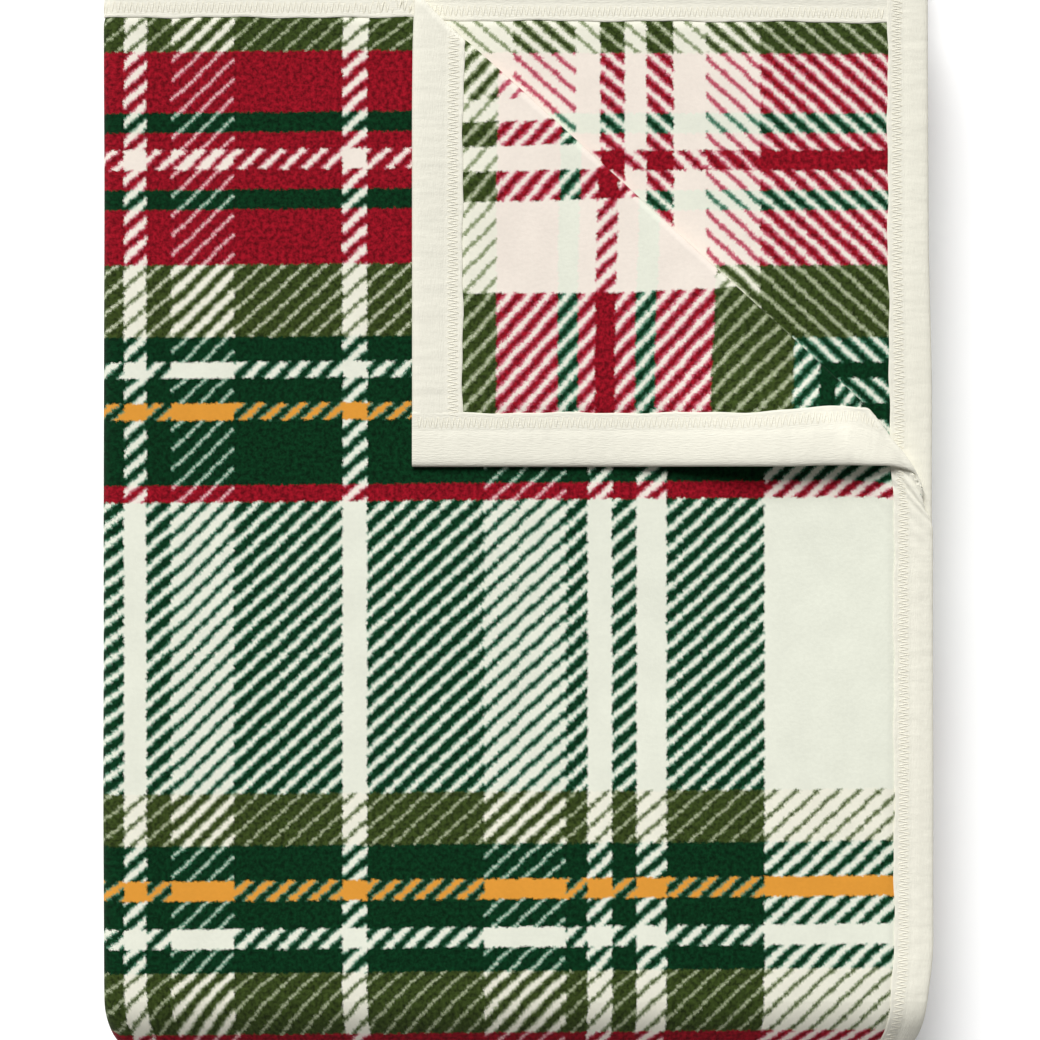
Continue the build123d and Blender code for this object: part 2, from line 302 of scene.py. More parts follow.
def weave_place(u, v):
    """Where a flat place lies in the pattern: the weave is pulled a little askew, and more on the corner."""
    s, n = crease_place(u, v)
    turned = ease(-30, 0, n - ROLL_START[0] - ROLL_START[1] * s)
    first = 1 - ease(ACROSS[0], ACROSS[1], u)
    second = ease(ACROSS[1] + 120, ACROSS[1] + 330, u) * (1 - ease(ACROSS[2], ACROSS[3], u))
    on_layer = TOP_PULL + LEFT_PULL * ease(323, 345, u)
    on_corner = CORNER_PULL * ease(82, 120, u)
    pulled_u = first * (on_layer + turned * (on_corner - on_layer)) - SECOND_PULL * second
    skew = SKEW * (SKEW_START - u)
    pulled_v = first * (skew + turned * (OLIVE_PULL * ease(145, 172, v) - skew))
    return np.stack([u + pulled_u, v + pulled_v], axis=1)


# ---------------------------------------------------------------- flat pieces
def lines(stops, step):
    """Grid lines from the first stop to the last, through each one, at most step apart."""
    out = [np.linspace(a, b, max(2, math.ceil((b - a) / step) + 1))[:-1] for a, b in zip(stops, stops[1:])]
    return np.concatenate(out + [[stops[-1]]])


def first_side_width(v):
    """Binding of the first side: wider on the turned corner, drawn narrower towards the crease."""
    return CORNER_BINDING + (FIRST_SIDE_BINDING - CORNER_BINDING) * ease(196, 228, v)


def binding_width(edge, t):
    """Binding seen beside an edge, at a distance t along it."""
    if edge == "first_side":
        return first_side_width(t)
    widths = {"second_side": SECOND_SIDE_BINDING, "head": HEAD_BINDING, "foot": FOOT_BINDING}
    return np.full_like(t, widths[edge])


RIM = (16.5, 30.0)                 # the cloth thickens beside its bindings within these distances
CLOTH_EDGE = 1.0                   # the cloth ends this far inside its binding


def loft(u, v):
    """Half of the cloth's thickness: full in the open, pressed thin inside a binding."""
    clear = np.minimum(
        np.minimum(u - first_side_width(v), WIDTH - u - SECOND_SIDE_BINDING),
        np.minimum(v - HEAD_BINDING, LENGTH - v - FOOT_BINDING),
    )
    return PRESSED + (LOFT - PRESSED) * ease(-1.5, 3.0, clear)


def across_lines():
    """Lines across the width: close together in the folds and beside the bindings."""
    a = ACROSS
    flat, fold = 8.0, 1.4
    rims = lines(RIM, 1.5)
    parts = [lines([CLOTH_EDGE, RIM[0]], 1.5), rims, lines([RIM[1], 60.0], 3.0), lines([60.0, a[0]], flat)]
    for i in range(1, 6):
        parts.append(lines([a[i - 1], a[i]], fold if i % 2 else flat))
    parts += [lines([a[5], WIDTH - RIM[1]], flat), WIDTH - rims, [WIDTH - CLOTH_EDGE]]
    return np.unique(np.round(np.concatenate(parts), 4))


def slab(us, vs):
    """Closed slab of cloth over a grid, in flat places."""
    nu, nv = len(us), len(vs)
    u, v = np.meshgrid(us, vs, indexing="ij")
    half = loft(u, v)
    face = np.stack([u, v, half], axis=-1).reshape(-1, 3)
    back = np.stack([u, v, -half], axis=-1).reshape(-1, 3)
    index = np.arange(nu * nv).reshape(nu, nv)
    quads = np.stack([index[:-1, :-1], index[:-1, 1:], index[1:, 1:], index[1:, :-1]], axis=-1).reshape(-1, 4)
    rim = np.concatenate([index[:-1, 0], index[-1, :-1], index[:0:-1, -1], index[0, :0:-1]])
    after = np.roll(rim, -1)
    count = nu * nv
    sides = np.stack([rim, after, after + count, rim + count], axis=-1)
    faces = np.concatenate([quads, quads[:, ::-1] + count, sides])
    return np.concatenate([face, back]), faces


# Section of a binding on its first face, from its inner edge to the outside: distance from the blanket's
# edge and height from the cloth's middle, for the widest binding. The stitches press down its inner third.
BINDING_OUTSIDE = [
    (25.0, 1.28), (24.6, 1.50), (23.9, 1.46), (23.0, 1.38), (20.5, 1.36), (18.0, 1.38), (17.0, 1.30),
    (16.3, 1.33), (15.2, 1.50), (12.5, 1.66), (9.0, 1.70), (5.0, 1.66), (2.6, 1.48), (1.1, 1.12), (0.3, 0.62),
    (0.0, 0.0),
]
BINDING_INSIDE = [(0.7, 0.0), (1.0, 0.5), (1.8, FABRIC_EDGE), (12.0, FABRIC_EDGE), (25.0, FABRIC_EDGE)]
SEAM = (17.0, 24.0)                # the stitches run between these distances from the edge
STITCH_PITCH = 2.5
THREAD = 0.5
THREAD_FLAT = 0.62                 # the pulled thread is flatter than it is wide
STITCH_HEIGHT = 1.38               # the thread's middle lies this far from the cloth's


def narrowed(edge, t, d):
    """Distance from the edge in a binding as wide as it is there, for a distance d in the widest binding."""
    return d + ease(3.0, 15.0, d) * (binding_width(edge, t) - BINDING)


def binding_section():
    """The binding's closed section round the cloth's edge."""
    outside = BINDING_OUTSIDE + [(d, -h) for d, h in BINDING_OUTSIDE[-2::-1]]
    inside = [(d, -h) for d, h in BINDING_INSIDE[::-1]] + BINDING_INSIDE[1:]
    return np.array(outside + inside)


def edge_places(edge, t, d, h):
    """Flat places beside an edge: t along it, d in from it, h off the cloth's middle."""
    if edge == "first_side":
        return np.stack([d, t, h], axis=-1)
    if edge == "second_side":
        return np.stack([WIDTH - d, t, -h], axis=-1)
    if edge == "head":
        return np.stack([t, d, -h], axis=-1)
    return np.stack([t, LENGTH - d, h], axis=-1)


def binding_strip(edge, ts):
    """Closed strip of binding along an edge, with its own (along, across) coordinates."""
    section = binding_section()
    k = len(section)
    t = np.repeat(ts, k)
    d = np.tile(section[:, 0], len(ts))
    h = np.tile(section[:, 1], len(ts))
    inner = ease(14, 25, d)
    puff = ease(0.5, 8, d) * (1 - ease(13, 16, d))
    d = narrowed(edge, t, d) + inner * (0.3 * np.sin(t / 9.0) + 0.2 * np.sin(t / 3.7 + 1.0))
    gather = np.sin(t / 4.1 + 1.3 * np.sin(t / 17.0)) + 0.7 * np.sin(t / 2.3 + 2.0 * np.sin(t / 23.0))
    h = h * (1 - 0.045 * puff * (1.7 + gather))
    if edge in ("head", "foot"):
        under = np.minimum(t, WIDTH - t)
        h = h * (0.80 + 0.20 * ease(BINDING - 6, BINDING, under))
    places = edge_places(edge, t, d, h)
    run = np.concatenate([[0], np.cumsum(np.hypot(*np.diff(section, axis=0).T))])
    own = np.stack([t, np.tile(run, len(ts))], axis=-1)
    index = np.arange(len(ts) * k).reshape(len(ts), k)
    after = np.roll(index, -1, axis=1)
    quads = np.stack([index[:-1], after[:-1], after[1:], index[1:]], axis=-1).reshape(-1, 4)
    faces = [list(q) for q in quads] + [list(index[0][::-1]), list(index[-1])]
    return places, faces, own


def stitch_row(edge, t_low, t_high):
    """Zigzag stitches along an edge, one closed leg of thread at a time, on both faces."""
    legs = np.arange(t_low, t_high, STITCH_PITCH / 2)
    share = np.array([0.0, 0.22, 0.5, 0.78, 1.0])
    bulge = np.array([-0.26, 0.03, 0.06, 0.03, -0.26])
    wide = np.array([0.6, 1.0, 1.0, 1.0, 0.6]) * THREAD / 2
    places, faces = [], []
    for number, t in enumerate(legs):
        ends = SEAM if number % 2 else SEAM[::-1]
        wander = 0.22 * math.sin(1.9 * number) + 0.15 * math.sin(0.37 * number)
        d = narrowed(edge, np.full(5, t), ends[0] + (ends[1] - ends[0]) * share) + wander
        along = t + share * STITCH_PITCH / 2
        slope = np.array([STITCH_PITCH / 2, ends[1] - ends[0]])
        slope = slope / np.linalg.norm(slope)
        for face in (1, -1):
            middle = STITCH_HEIGHT + bulge
            ring = []
            for across, up in ((-1, 0), (0, THREAD_FLAT), (1, 0), (0, -THREAD_FLAT)):
                ring.append(edge_places(
                    edge,
                    along - across * wide * slope[1],
                    d + across * wide * slope[0],
                    face * (middle + up * wide),
                ))
            base = len(places) * STITCH_POINTS
            places.append(np.stack(ring, axis=1).reshape(-1, 3))
            order = 1 if face * (1 if edge in ("first_side", "foot") else -1) > 0 else -1
            for i in range(4):
                for j in range(4):
                    quad = [4 * i + j, 4 * i + (j + 1) % 4, 4 * i + 4 + (j + 1) % 4, 4 * i + 4 + j]
                    faces.append([base + q for q in quad[::order]])
            faces.append([base + q for q in (3, 2, 1, 0)[::order]])
            faces.append([base + 16 + q for q in (0, 1, 2, 3)[::order]])
    return np.concatenate(places), faces


# ---------------------------------------------------------------- cutting flat pieces
def flat_mesh(places, faces, own=None):
    """A bmesh in flat places, with its own coordinates if it has them."""
    mesh = bpy.data.meshes.new("flat")
    mesh.from_pydata(places.tolist(), [], [list(map(int, f)) for f in faces])
    if own is not None:
        layer = mesh.uv_layers.new(name="flat")
        corner_vertex = np.zeros(len(mesh.loops), int)
        mesh.loops.foreach_get("vertex_index", corner_vertex)
        layer.data.foreach_set("uv", (own[corner_vertex] * MM).ravel())
    bm = bmesh.new()
    bm.from_mesh(mesh)
    bpy.data.meshes.remove(mesh)
    return bm


def crease_line(offset, growth):
    """A point and the direction towards the corner of a line beside the crease, in flat places."""
    ends = []
    for s in (0.0, CREASE_LENGTH):
        n = offset + growth * s
        ends.append(Vector(((LEG - n * DIAGONAL - (s * DIAGONAL - LEG)) / 2,
                            (LEG - n * DIAGONAL + (s * DIAGONAL - LEG)) / 2, 0)))
    along = ends[1] - ends[0]
    return ends[0], Vector((-along.y, along.x, 0)).normalized()


def cut(bm, line, keep_corner):
    """Cuts a flat piece along a line, keeps one side and closes it."""
    point, inward = line
    toward = inward if inward.dot(Vector((-1, -1, 0))) > 0 else -inward
    parts = bm.verts[:] + bm.edges[:] + bm.faces[:]
    done = bmesh.ops.bisect_plane(
        bm, geom=parts, dist=1e-5, plane_co=point, plane_no=toward, clear_inner=keep_corner,
        clear_outer=not keep_corner,
    )
    rim = [e for e in done["geom_cut"] if isinstance(e, bmesh.types.BMEdge) and e.is_boundary]
    bmesh.ops.holes_fill(bm, edges=rim, sides=0)


def score(bm, count):
    """Adds lines along the crease, so that the cloth can turn round the roll."""
    for share in np.linspace(0, 1, count + 1)[1:-1]:
        if share <= 0.5:
            t = share / 0.5
            offset = ROLL_START[0] + (ROLL_TOP[0] - ROLL_START[0]) * t
            growth = ROLL_START[1] + (ROLL_TOP[1] - ROLL_START[1]) * t
        else:
            offset, growth = ROLL_TOP[0] + QUARTER * (share - 0.5) / 0.5, ROLL_TOP[1]
        point, inward = crease_line(offset, growth)
        parts = bm.verts[:] + bm.edges[:] + bm.faces[:]
        bmesh.ops.bisect_plane(bm, geom=parts, dist=1e-5, plane_co=point, plane_no=inward)


LAYER_LINE = crease_line(*ROLL_START)
CORNER_LINE = crease_line(ROLL_END, ROLL_TOP[1])


def three_parts(places, faces, own=None):
    """A flat piece of the top pack cut into what stays, what turns round the crease, and the corner."""
    stays, roll, corner = (flat_mesh(places, faces, own) for _ in range(3))
    cut(stays, LAYER_LINE, False)
    cut(roll, LAYER_LINE, True)
    cut(roll, CORNER_LINE, False)
    score(roll, 14)
    cut(corner, CORNER_LINE, True)
    return stays, roll, corner


# ---------------------------------------------------------------- materials
def linear(code):
    """sRGB hex to linear colour."""
    parts = [int(code[i:i + 2], 16) / 255 for i in (1, 3, 5)]
    return [c / 12.92 if c <= 0.04045 else ((c + 0.055) / 1.055) ** 2.4 for c in parts] + [1.0]


def add(tree, kind, inputs=None, stops=None, **settings):
    """Adds a node with its settings, values and links; stops are the equal steps of a colour ramp."""
    made = tree.nodes.new(kind)
    for name, value in settings.items():
        setattr(made, name, value)
    if stops:
        made.color_ramp.interpolation = "CONSTANT"
        elements = made.color_ramp.elements
        elements.remove(elements[1])
        for number, colour in enumerate(stops):
            element = elements[0] if number == 0 else elements.new(number / len(stops))
            element.color = colour
    for name, value in (inputs or {}).items():
        if isinstance(value, bpy.types.NodeSocket):
            tree.links.new(value, made.inputs[name])
        else:
            made.inputs[name].default_value = value
    return made


def new_material(name, roughness, sheen):
    """A material with its shader, ready for colour and bump."""
    material = bpy.data.materials.new(name)
    material.use_nodes = True
    tree = material.node_tree
    shader = tree.nodes["Principled BSDF"]
    shader.inputs["Roughness"].default_value = roughness
    shader.inputs["IOR"].default_value = 1.45
    shader.inputs["Specular IOR Level"].default_value = 0.1
    shader.inputs["Sheen Weight"].default_value = sheen
    shader.inputs["Sheen Roughness"].default_value = 0.45
    return material, tree, shader


CREAM = linear("#F4F1E3")
RED = linear("#870E1D")
GREEN = linear("#052E16")
OLIVE = linear("#33411A")
ORANGE = linear("#EC9E3C")
IVORY = linear("#EDEADB")
THREAD_COLOUR = linear("#EEEAD9")

# Bands down the blanket from the head: width in mm, figure yarn, ground yarn, and how much of the twill the
# figure takes in the dark, light and pale stripes. A share over 1 leaves no ground, one below 0 no figure.
STRONG = (1.3, 0.84, 0.5)
MUTED = (0.86, 0.50, 0.20)
DEEP = (0.92, 0.55, 0.22)
OPEN = (0.60, 0.33, -0.3)
LINED = (0.5, -0.3, -0.3)
BANDS = [
    (26.7, OLIVE, CREAM, DEEP), (28.1, RED, CREAM, STRONG), (9.2, GREEN, CREAM, STRONG),
    (7.8, RED, CREAM, STRONG), (9.2, RED, CREAM, OPEN), (9.2, RED, CREAM, STRONG),
    (9.2, GREEN, CREAM, STRONG), (25.3, RED, CREAM, STRONG), (33.2, OLIVE, CREAM, MUTED),
    (11.5, GREEN, CREAM, STRONG), (7.4, GREEN, CREAM, LINED), (11.5, GREEN, CREAM, STRONG),
    (7.8, GREEN, ORANGE, LINED), (29.9, GREEN, CREAM, STRONG), (7.8, RED, CREAM, STRONG),
    (134.0, GREEN, CREAM, OPEN), (23.9, OLIVE, CREAM, DEEP), (16.1, GREEN, CREAM, STRONG),
    (9.2, GREEN, ORANGE, LINED), (12.9, GREEN, CREAM, STRONG), (9.2, GREEN, CREAM, LINED),
    (11.1, GREEN, CREAM, STRONG),
]
BANDS_START = 12.0                 # from the head edge to the first band
DARK, LIGHT, PALE = (1, 0, 0, 1), (0, 1, 0, 1), (0, 0, 1, 1)
STRIPES = [
    (144.4, PALE), (45.6, DARK), (13.3, PALE), (11.1, DARK), (11.15, PALE), (10.65, DARK), (37.1, LIGHT),
    (53.75, DARK), (11.05, PALE), (50.0, DARK), (29.9, LIGHT), (11.2, DARK), (10.2, PALE), (10.1, DARK),
    (12.9, PALE), (14.7, DARK), (25.8, LIGHT),
]
STRIPES_START = 79.5 - 144.4       # the first pale stripe starts this far before the side edge
TWILL = 8.93                       # twill lines repeat down the blanket, mm
TWILL_SLOPE = 0.92
YARN = 1.25                        # distance between yarns, mm
NAP = 0.9                          # how far brushed fibres stray from their yarn, mm
TUFT = 0.9                         # and how far whole tufts of them do
SHARE_LOW, SHARE_SPAN = -0.3, 1.6  # shares are kept in a ramp, whose values run from 0 to 1


def repeat_place(tree, value, widths, start):
    """Which of the repeating widths a place lies in, as the middle of that step of a ramp."""
    total = sum(widths)
    value = add(tree, "ShaderNodeMath", {0: value, 1: start}, operation="SUBTRACT").outputs[0]
    value = add(tree, "ShaderNodeMath", {0: value, 1: total, 2: 0.0}, operation="WRAP").outputs[0]
    number = 0.5
    for place in np.cumsum(widths)[:-1]:
        past = add(tree, "ShaderNodeMath", {0: value, 1: float(place)}, operation="GREATER_THAN").outputs[0]
        number = add(tree, "ShaderNodeMath", {0: past, 1: number}, operation="ADD").outputs[0]
    return add(tree, "ShaderNodeMath", {0: number, 1: len(widths)}, operation="DIVIDE").outputs[0]


def woven_pattern(tree):
    """Position in mm, how far a place is inside the figure, and the figure's and ground's yarns there."""
    place = add(tree, "ShaderNodeUVMap", uv_map="flat").outputs["UV"]
    mm = add(tree, "ShaderNodeVectorMath", {0: place, 1: (1000, 1000, 1000)}, operation="MULTIPLY").outputs[0]
    # Brushed fibres stray, so that each colour's edge is soft.
    fibre = add(tree, "ShaderNodeVectorMath", {0: mm, 1: (0.2, 0.2, 1)}, operation="SNAP").outputs[0]
    fibre = add(tree, "ShaderNodeTexWhiteNoise", {"Vector": fibre}, noise_dimensions="2D").outputs["Color"]
    fibre = add(tree, "ShaderNodeVectorMath", {0: fibre, 1: (NAP, NAP, 0), 2: mm}, operation="MULTIPLY_ADD")
    tuft = add(tree, "ShaderNodeTexNoise", {"Vector": mm, "Scale": 0.9, "Detail": 2.0}, noise_dimensions="2D")
    stray = {0: tuft.outputs["Color"], 1: (TUFT, TUFT, 0), 2: fibre.outputs[0]}
    stray = add(tree, "ShaderNodeVectorMath", stray, operation="MULTIPLY_ADD").outputs[0]
    middle = (NAP + TUFT) / 2
    stray = {0: stray, 1: (middle, middle, 0)}
    stray = add(tree, "ShaderNodeVectorMath", stray, operation="SUBTRACT").outputs[0]
    # The pattern changes a whole yarn at a time, which gives its edges their teeth.
    parts = add(tree, "ShaderNodeSeparateXYZ", {0: stray})
    row = add(tree, "ShaderNodeMath", {0: parts.outputs["Y"], 1: YARN}, operation="SNAP").outputs[0]
    wander = add(tree, "ShaderNodeTexWhiteNoise", {"W": row}, noise_dimensions="1D").outputs["Value"]
    u = {0: wander, 1: 0.8, 2: parts.outputs["X"]}
    u = add(tree, "ShaderNodeMath", u, operation="MULTIPLY_ADD").outputs[0]
    u = add(tree, "ShaderNodeMath", {0: u, 1: YARN}, operation="SNAP").outputs[0]
    wander = add(tree, "ShaderNodeTexWhiteNoise", {"W": u}, noise_dimensions="1D").outputs["Value"]
    v = {0: wander, 1: 0.9, 2: parts.outputs["Y"]}
    v = add(tree, "ShaderNodeMath", v, operation="MULTIPLY_ADD").outputs[0]
    down = repeat_place(tree, v, [b[0] for b in BANDS], BANDS_START + 0.45)
    over = repeat_place(tree, u, [s[0] for s in STRIPES], STRIPES_START + 0.4 - YARN / 2)
    figure = add(tree, "ShaderNodeValToRGB", {0: down}, stops=[b[1] for b in BANDS]).outputs[0]
    ground = add(tree, "ShaderNodeValToRGB", {0: down}, stops=[b[2] for b in BANDS]).outputs[0]
    scaled = [[(value - SHARE_LOW) / SHARE_SPAN for value in b[3]] + [1] for b in BANDS]
    shares = add(tree, "ShaderNodeValToRGB", {0: down}, stops=scaled).outputs[0]
    stripe = add(tree, "ShaderNodeValToRGB", {0: over}, stops=[s[1] for s in STRIPES]).outputs[0]
    share = add(tree, "ShaderNodeVectorMath", {0: shares, 1: stripe}, operation="DOT_PRODUCT")
    share = {0: share.outputs["Value"], 1: SHARE_SPAN, 2: SHARE_LOW}
    share = add(tree, "ShaderNodeMath", share, operation="MULTIPLY_ADD").outputs[0]
    # Twill lines: the figure takes its share of each repeat.
    slant = add(tree, "ShaderNodeMath", {0: u, 1: -TWILL_SLOPE, 2: v}, operation="MULTIPLY_ADD").outputs[0]
    cycle = add(tree, "ShaderNodeMath", {0: slant, 1: TWILL}, operation="DIVIDE").outputs[0]
    cycle = add(tree, "ShaderNodeMath", {0: cycle, 1: 0.5}, operation="PINGPONG").outputs[0]
    inside = add(tree, "ShaderNodeMath", {0: cycle, 1: -2.0, 2: share}, operation="MULTIPLY_ADD").outputs[0]
    return mm, inside, figure, ground


def napped_cloth(name, reverse):
    """Double-faced cotton jacquard, woven and then brushed on both faces: fibres of both colours mix along
    each edge, the surface is matt with a faint bloom, and on the reverse figure and ground change places."""
    material, tree, shader = new_material(name, 0.92, 0.03)
    mm, inside, figure, ground = woven_pattern(tree)
    if reverse:
        inside = {0: inside, 1: -1.0, 2: 0.08}
        inside = add(tree, "ShaderNodeMath", inside, operation="MULTIPLY_ADD").outputs[0]
    thin, thick = ((-0.26, 0.02), (0.03, 0.30)) if reverse else ((-0.24, 0.04), (-0.03, 0.22))
    # The yarns of the other face shine through the ground a little.
    glow = add(tree, "ShaderNodeGamma", {0: figure, 1: 0.12}).outputs[0]
    glow = add(tree, "ShaderNodeMix", {"Factor": 0.22, 6: (1, 1, 1, 1), 7: glow}, data_type="RGBA").outputs[2]
    ground = add(tree, "ShaderNodeVectorMath", {0: ground, 1: glow}, operation="MULTIPLY").outputs[0]
    # Where both kinds of fibre mix, the colour is paler than the figure and stronger than a plain mixture.
    fringe = add(tree, "ShaderNodeGamma", {0: figure, 1: 0.38}).outputs[0]
    smooth = {"interpolation_type": "SMOOTHSTEP"}
    near = add(tree, "ShaderNodeMapRange", {0: inside, 1: thin[0], 2: thin[1]}, **smooth).outputs[0]
    far = add(tree, "ShaderNodeMapRange", {0: inside, 1: thick[0], 2: thick[1]}, **smooth).outputs[0]
    woven = add(tree, "ShaderNodeMix", {"Factor": near, 6: ground, 7: fringe}, data_type="RGBA").outputs[2]
    woven = add(tree, "ShaderNodeMix", {"Factor": far, 6: woven, 7: figure}, data_type="RGBA").outputs[2]
    # Fibre flecks: tufts about a millimetre long, which show far more on the dark yarns.
    tufts = add(tree, "ShaderNodeTexNoise", {"Vector": mm, "Scale": 0.5, "Detail": 5.0, "Roughness": 0.7},
                noise_dimensions="2D").outputs[0]
    wash = add(tree, "ShaderNodeTexNoise", {"Vector": mm, "Scale": 0.06, "Detail": 3.0},
               noise_dimensions="2D").outputs[0]
    fleck = add(tree, "ShaderNodeMapRange", {0: tufts, 1: 0.34, 2: 0.66, 3: 0.45, 4: 1.6}).outputs[0]
    faint = add(tree, "ShaderNodeMapRange", {0: tufts, 1: 0.3, 2: 0.7, 3: 0.975, 4: 1.025}).outputs[0]
    fleck = add(tree, "ShaderNodeMix", {"Factor": far, 2: faint, 3: fleck}).outputs[0]
    broad = add(tree, "ShaderNodeMapRange", {0: wash, 1: 0.3, 2: 0.7, 3: 0.975, 4: 1.025}).outputs[0]
    light = add(tree, "ShaderNodeMath", {0: fleck, 1: broad}, operation="MULTIPLY").outputs[0]
    colour = add(tree, "ShaderNodeVectorMath", {0: woven, 3: light}, operation="SCALE").outputs[0]
    tree.links.new(colour, shader.inputs["Base Color"])
    bump = add(tree, "ShaderNodeBump", {"Height": tufts, "Strength": 0.22, "Distance": 0.0006})
    tree.links.new(bump.outputs[0], shader.inputs["Normal"])
    return material


def binding_fabric():
    """Brushed cotton binding: plain cream fabric, a faint grain along the strip, soft creases across it."""
    material, tree, shader = new_material("brushed_cotton_binding", 0.85, 0.12)
    place = add(tree, "ShaderNodeUVMap", uv_map="flat").outputs["UV"]
    mm = add(tree, "ShaderNodeVectorMath", {0: place, 1: (1000, 1000, 1000)}, operation="MULTIPLY").outputs[0]
    along = add(tree, "ShaderNodeVectorMath", {0: mm, 1: (0.25, 1.6, 1)}, operation="MULTIPLY").outputs[0]
    grain = add(tree, "ShaderNodeTexNoise", {"Vector": along, "Scale": 1.0, "Detail": 4.0},
                noise_dimensions="2D").outputs[0]
    fibre = add(tree, "ShaderNodeTexNoise", {"Vector": mm, "Scale": 1.4, "Detail": 3.0},
                noise_dimensions="2D").outputs[0]
    across = add(tree, "ShaderNodeVectorMath", {0: mm, 1: (0.16, 0.03, 1)}, operation="MULTIPLY").outputs[0]
    crease = add(tree, "ShaderNodeTexNoise", {"Vector": across, "Scale": 1.0, "Detail": 2.0},
                 noise_dimensions="2D").outputs[0]
    tone = add(tree, "ShaderNodeMapRange", {0: grain, 1: 0.3, 2: 0.7, 3: 0.965, 4: 1.02}).outputs[0]
    colour = add(tree, "ShaderNodeVectorMath", {0: IVORY[:3], 3: tone}, operation="SCALE").outputs[0]
    tree.links.new(colour, shader.inputs["Base Color"])
    height = add(tree, "ShaderNodeMath", {0: crease, 1: 2.0, 2: grain}, operation="MULTIPLY_ADD").outputs[0]
    height = add(tree, "ShaderNodeMath", {0: fibre, 1: 0.5, 2: height}, operation="MULTIPLY_ADD").outputs[0]
    bump = add(tree, "ShaderNodeBump", {"Height": height, "Strength": 0.45, "Distance": 0.0004})
    tree.links.new(bump.outputs[0], shader.inputs["Normal"])
    return material


def sewing_thread():
    """Spun polyester thread: warmer than the binding, with a slight lustre."""
    material, tree, shader = new_material("spun_polyester_thread", 0.6, 0.15)
    place = add(tree, "ShaderNodeTexCoord").outputs["Object"]
    twist = add(tree, "ShaderNodeTexNoise", {"Vector": place, "Scale": 900.0, "Detail": 2.0}).outputs[0]
    tone = add(tree, "ShaderNodeMapRange", {0: twist, 1: 0.3, 2: 0.7, 3: 0.92, 4: 1.04}).outputs[0]
    colour = add(tree, "ShaderNodeVectorMath", {0: THREAD_COLOUR[:3], 3: tone}, operation="SCALE").outputs[0]
    tree.links.new(colour, shader.inputs["Base Color"])
    return material


FACE = napped_cloth("brushed_jacquard_face", False)
REVERSE = napped_cloth("brushed_jacquard_reverse", True)
BINDING_FABRIC = binding_fabric()
SEWING_THREAD = sewing_thread()


# ---------------------------------------------------------------- finished pieces
def finish_piece(name, bm, slot, node_names):
    """Folds a flat piece into its place, gives it its coordinates and materials, and hides the CAD parts it
    stands for.
    """
    mesh = bpy.data.meshes.new(name)
    bm.to_mesh(mesh)
    bm.free()
    count = len(mesh.vertices)
    flat = np.zeros(count * 3)
    mesh.vertices.foreach_get("co", flat)
    flat = flat.reshape(-1, 3)
    if not mesh.uv_layers:
        layer = mesh.uv_layers.new(name="flat")
        corner_vertex = np.zeros(len(mesh.loops), int)
        mesh.loops.foreach_get("vertex_index", corner_vertex)
        layer.data.foreach_set("uv", (weave_place(*flat[corner_vertex, :2].T) * MM).ravel())
    if slot == "cloth":
        heights = [sum(flat[i, 2] for i in p.vertices) for p in mesh.polygons]
        mesh.materials.append(FACE)
        mesh.materials.append(REVERSE)
        mesh.polygons.foreach_set("material_index", np.array([int(h < -0.1) for h in heights]))
    else:
        mesh.materials.append(BINDING_FABRIC if slot == "binding" else SEWING_THREAD)
    mesh.vertices.foreach_set("co", fold_blanket(flat).ravel())
    mesh.update()
    piece = bpy.data.objects.new(name, mesh)
    bpy.context.scene.collection.objects.link(piece)
    bpy.ops.object.select_all(action="DESELECT")
    piece.select_set(True)
    bpy.context.view_layer.objects.active = piece
    bpy.ops.object.shade_smooth_by_angle(angle=math.radians(50))
    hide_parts(*node_names)
    return piece


def follow(piece, part):
    """Parents a piece to the body it moves with; a fold or the crease roll keeps its place, with no body."""
    if part == "lower":
        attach(piece, "lower_half")
    elif part in ("top", "inside"):
        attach(piece, "upper_half")
    elif part == "outer_fold":
        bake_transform(piece)
    elif part == "inner_fold":
        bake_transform(piece)
    elif part == "crease":
        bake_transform(piece)
    else:
        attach(piece, "turned_corner")
        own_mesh(piece)


TIP = (180.0, 300.0)               # the crease meets the first side between these distances from the head
# What the blanket's length becomes, from head to foot.
STRETCHES = ("top", "outer_fold", "lower", "inner_fold", "inside")


def stretch_lines(part, first, last, flat_step):
    """Lines along the length of one stretch, closer together where it folds."""
    if part == "top":
        return lines([first, ALONG[0]], flat_step)
    if part == "inside":
        return lines([ALONG[5], last], flat_step)
    if part == "lower":
        return np.unique(np.concatenate([
            lines([ALONG[1], ALONG[2]], flat_step), lines([ALONG[2], ALONG[3]], 1.2),
            lines([ALONG[3], ALONG[4]], flat_step),
        ]))
    low, high = (0, 1) if part == "outer_fold" else (4, 5)
    return lines([ALONG[low], ALONG[high]], 2.2 if part == "outer_fold" else 1.0)


